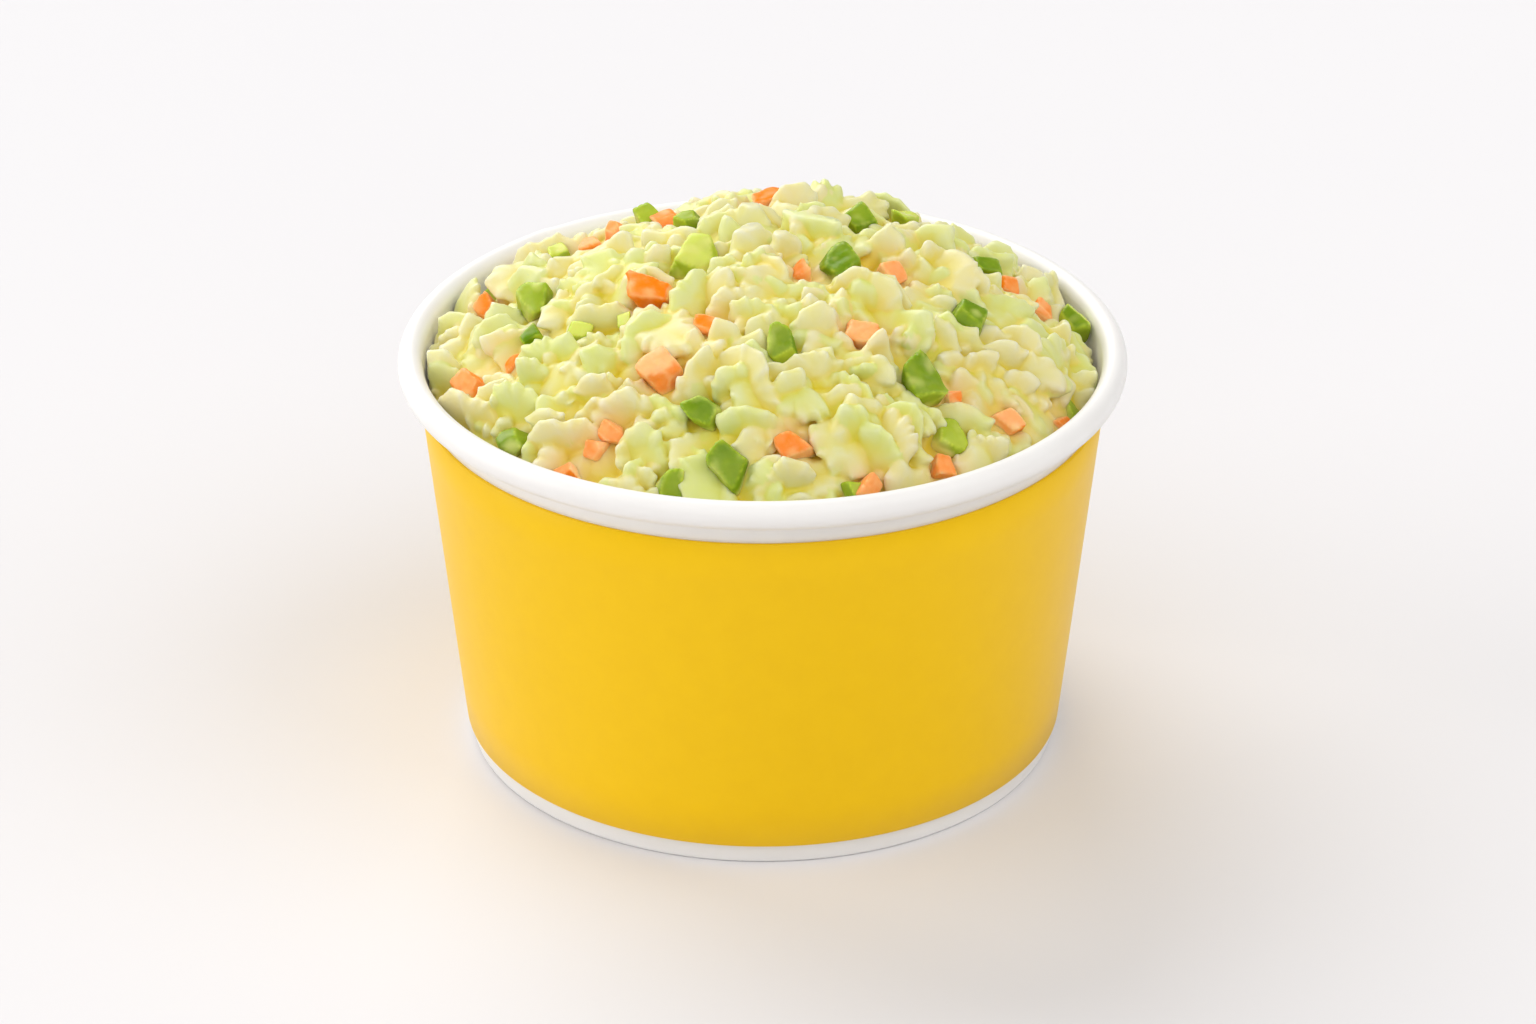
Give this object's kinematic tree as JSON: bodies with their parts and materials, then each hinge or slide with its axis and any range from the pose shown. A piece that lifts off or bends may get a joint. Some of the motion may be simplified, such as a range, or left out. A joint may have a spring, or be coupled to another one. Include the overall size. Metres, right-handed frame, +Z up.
{
  "type": "coleslaw in a round paper tub",
  "caption": "Finely chopped coleslaw heaped in a flared round paper tub with a rolled white rim, a plain yellow paper wrap and a recessed base.",
  "frame": {"origin": "on the surface that the tub stands on, under the middle of the tub", "axes": "+Z up along the tub's axis; the crown of the heap lies a few millimetres off that axis towards +X, and the side shown in the picture faces -Y"},
  "size_m": [0.096, 0.096, 0.0719],
  "materials": {
    "white_board": "satin",
    "yellow_paper": "satin",
    "coleslaw": "satin"
  },
  "bodies": {
    "root": {"tub_wall": "white_board", "tub_base": "white_board", "wrap": "yellow_paper", "coleslaw": "coleslaw"}
  },
  "joints": []
}
